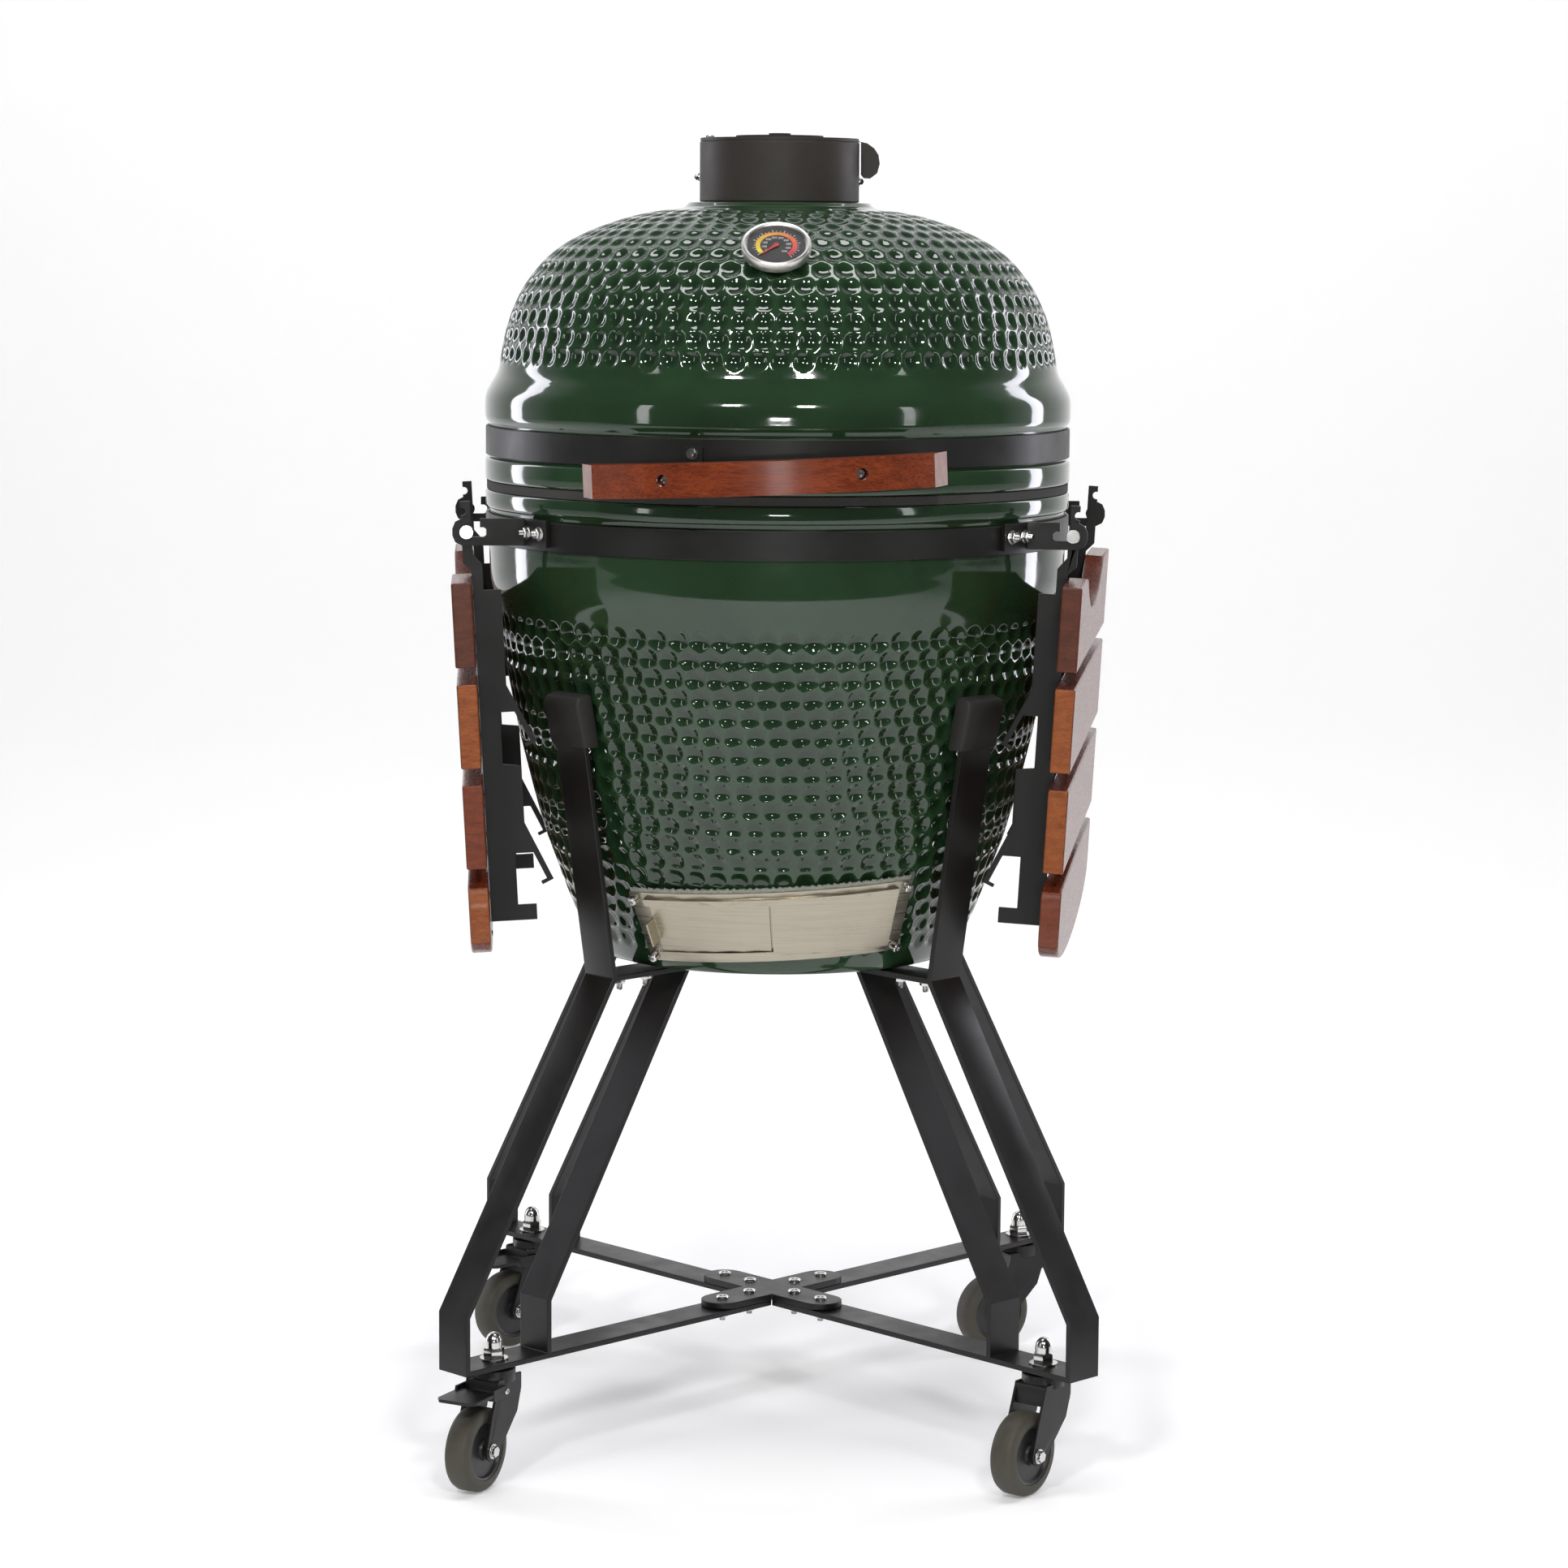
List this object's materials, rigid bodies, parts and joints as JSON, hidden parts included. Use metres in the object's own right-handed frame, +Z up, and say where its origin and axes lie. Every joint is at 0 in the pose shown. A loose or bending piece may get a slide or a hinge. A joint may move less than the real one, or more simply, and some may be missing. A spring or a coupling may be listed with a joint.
{
  "type": "kamado ceramic grill",
  "caption": "Egg-shaped ceramic charcoal grill with a dimpled green glaze, hinged lid, top and bottom air vents, folding wooden side shelves and a steel cart on casters.",
  "frame": {"origin": "on the floor under the middle of the ceramic body", "axes": "+Z up along the body's axis, front (air inlet and handle) towards -Y, viewer's left towards -X"},
  "size_m": [0.6433, 0.6453, 1.199],
  "materials": {
    "green_glaze": "glossy dark green glaze over dimpled ceramic",
    "black_coat": "satin black powder coat on steel",
    "vent_iron": "matte black cast iron",
    "cast_iron": "matte black cast iron",
    "felt": "dark grey woven felt",
    "fire_clay": "unglazed buff fire clay",
    "chrome": "bright plated steel",
    "needle_red": "red paint",
    "wood": "red-brown lacquered hardwood with fine straight grain",
    "stainless": "brushed stainless sheet",
    "pad_rubber": "matte grey-black rubber",
    "tread": "grey-olive solid rubber",
    "dial_face": "black printed dial with a yellow to red arc",
    "dial_glass": "clear flat glass"
  },
  "bodies": {
    "base": {"base_shell": "green_glaze", "base_band": "black_coat", "gasket": "felt", "fire_box": "fire_clay", "charcoal_grate": "cast_iron", "cooking_grate": "cast_iron", "hinge_lower": "black_coat", "hinge_pin": "chrome", "spring_left": "chrome", "spring_right": "chrome", "draft_frame": "stainless", "cross_plate": "black_coat", "upper_cross_plate": "black_coat", "shelf_hinge_front_left": "black_coat", "shelf_hinge_rear_left": "black_coat", "shelf_hinge_front_right": "black_coat", "shelf_hinge_rear_right": "black_coat", "cart_frame_front_left": "black_coat", "cradle_pad_front_left": "pad_rubber", "cart_frame_front_right": "black_coat", "cradle_pad_front_right": "pad_rubber", "cart_frame_rear_left": "black_coat", "cradle_pad_rear_left": "pad_rubber", "cart_frame_rear_right": "black_coat", "cradle_pad_rear_right": "pad_rubber"},
    "lid": {"lid_shell": "green_glaze", "lid_band": "black_coat", "hinge_upper": "black_coat", "thermometer_case": "chrome", "handle": "wood", "handle_bracket": "black_coat", "chimney": "black_coat"},
    "vent_flap": {"vent_flap": "black_coat"},
    "vent_wheel": {"vent_wheel": "vent_iron"},
    "needle": {"thermometer_needle": "needle_red"},
    "draft_door": {"draft_door": "stainless"},
    "shelf_slide_left": {"shelf_pin_left": "chrome"},
    "shelf_left": {"shelf_bracket_front_left": "black_coat", "shelf_bracket_rear_left": "black_coat", "shelf_slat_1_left": "wood", "shelf_slat_2_left": "wood", "shelf_slat_3_left": "wood", "shelf_slat_4_left": "wood"},
    "shelf_slide_right": {"shelf_pin_right": "chrome"},
    "shelf_right": {"shelf_bracket_front_right": "black_coat", "shelf_bracket_rear_right": "black_coat", "shelf_slat_1_right": "wood", "shelf_slat_2_right": "wood", "shelf_slat_3_right": "wood", "shelf_slat_4_right": "wood"},
    "fork_front_left": {"caster_fork_front_left": "black_coat"},
    "wheel_front_left": {"caster_wheel_front_left": "tread"},
    "pedal_front_left": {"brake_pedal_front_left": "black_coat"},
    "fork_front_right": {"caster_fork_front_right": "black_coat"},
    "wheel_front_right": {"caster_wheel_front_right": "tread"},
    "fork_rear_left": {"caster_fork_rear_left": "black_coat"},
    "wheel_rear_left": {"caster_wheel_rear_left": "tread"},
    "pedal_rear_left": {"brake_pedal_rear_left": "black_coat"},
    "fork_rear_right": {"caster_fork_rear_right": "black_coat"},
    "wheel_rear_right": {"caster_wheel_rear_right": "tread"}
  },
  "joints": [
    {"name": "lid_open", "type": "hinge", "parent": "base", "child": "lid", "pos_m": [0, 0.306, 0.88], "axis": [-1, 0, 0], "range_deg": [0, 75]},
    {"name": "vent_flap_swing", "type": "hinge", "parent": "lid", "child": "vent_flap", "pos_m": [-0.064, 0, 1.1928], "axis": [0, 0, 1], "range_deg": [0, 100]},
    {"name": "vent_wheel_turn", "type": "hinge", "parent": "vent_flap", "child": "vent_wheel", "pos_m": [0, 0, 1.196], "axis": [0, 0, 1], "range_deg": [0, 36]},
    {"name": "needle_turn", "type": "hinge", "parent": "lid", "child": "needle", "pos_m": [0, -0.2045, 1.0914], "axis": [0, 0.6157, -0.788], "range_deg": [0, 270]},
    {"name": "draft_door_slide", "type": "hinge", "parent": "base", "child": "draft_door", "pos_m": [0, 0, 0.497], "axis": [-0.0523, 0, 0.9986], "range_deg": [0, 30]},
    {"name": "shelf_slide_left", "type": "slide", "parent": "base", "child": "shelf_slide_left", "axis": [0.9969, 0.0785, 0], "range_m": [0, 0.0125]},
    {"name": "shelf_swing_left", "type": "hinge", "parent": "shelf_slide_left", "child": "shelf_left", "pos_m": [-0.287, 0, 0.843], "axis": [-0.0785, 0.9969, 0], "range_deg": [0, 93]},
    {"name": "shelf_slide_right", "type": "slide", "parent": "base", "child": "shelf_slide_right", "axis": [-0.9936, 0.1132, 0], "range_m": [0, 0.0125]},
    {"name": "shelf_swing_right", "type": "hinge", "parent": "shelf_slide_right", "child": "shelf_right", "pos_m": [0.283, 0, 0.843], "axis": [-0.1132, -0.9936, 0], "range_deg": [0, 93]},
    {"name": "swivel_front_left", "type": "hinge", "parent": "base", "child": "fork_front_left", "pos_m": [-0.24466, -0.24466, 0.1], "axis": [0, 0, 1], "continuous": true},
    {"name": "wheel_spin_front_left", "type": "hinge", "parent": "fork_front_left", "child": "wheel_front_left", "pos_m": [-0.25873, -0.27228, 0.0375], "axis": [0.891, -0.454, 0], "continuous": true},
    {"name": "brake_pedal_front_left", "type": "hinge", "parent": "fork_front_left", "child": "pedal_front_left", "pos_m": [-0.25011, -0.25535, 0.088], "axis": [0.891, -0.454, 0], "range_deg": [0, 18]},
    {"name": "swivel_front_right", "type": "hinge", "parent": "base", "child": "fork_front_right", "pos_m": [0.24466, -0.24466, 0.1], "axis": [0, 0, 1], "continuous": true},
    {"name": "wheel_spin_front_right", "type": "hinge", "parent": "fork_front_right", "child": "wheel_front_right", "pos_m": [0.226, -0.26942, 0.0375], "axis": [0.7986, -0.6018, 0], "continuous": true},
    {"name": "swivel_rear_left", "type": "hinge", "parent": "base", "child": "fork_rear_left", "pos_m": [-0.24466, 0.24466, 0.1], "axis": [0, 0, 1], "continuous": true},
    {"name": "wheel_spin_rear_left", "type": "hinge", "parent": "fork_rear_left", "child": "wheel_rear_left", "pos_m": [-0.26658, 0.22274, 0.0375], "axis": [0.7071, -0.7071, 0], "continuous": true},
    {"name": "brake_pedal_rear_left", "type": "hinge", "parent": "fork_rear_left", "child": "pedal_rear_left", "pos_m": [-0.25314, 0.23617, 0.088], "axis": [0.7071, -0.7071, 0], "range_deg": [0, 18]},
    {"name": "swivel_rear_right", "type": "hinge", "parent": "base", "child": "fork_rear_right", "pos_m": [0.24466, 0.24466, 0.1], "axis": [0, 0, 1], "continuous": true},
    {"name": "wheel_spin_rear_right", "type": "hinge", "parent": "fork_rear_right", "child": "wheel_rear_right", "pos_m": [0.21837, 0.22823, 0.0375], "axis": [0.5299, -0.848, 0], "continuous": true}
  ]
}
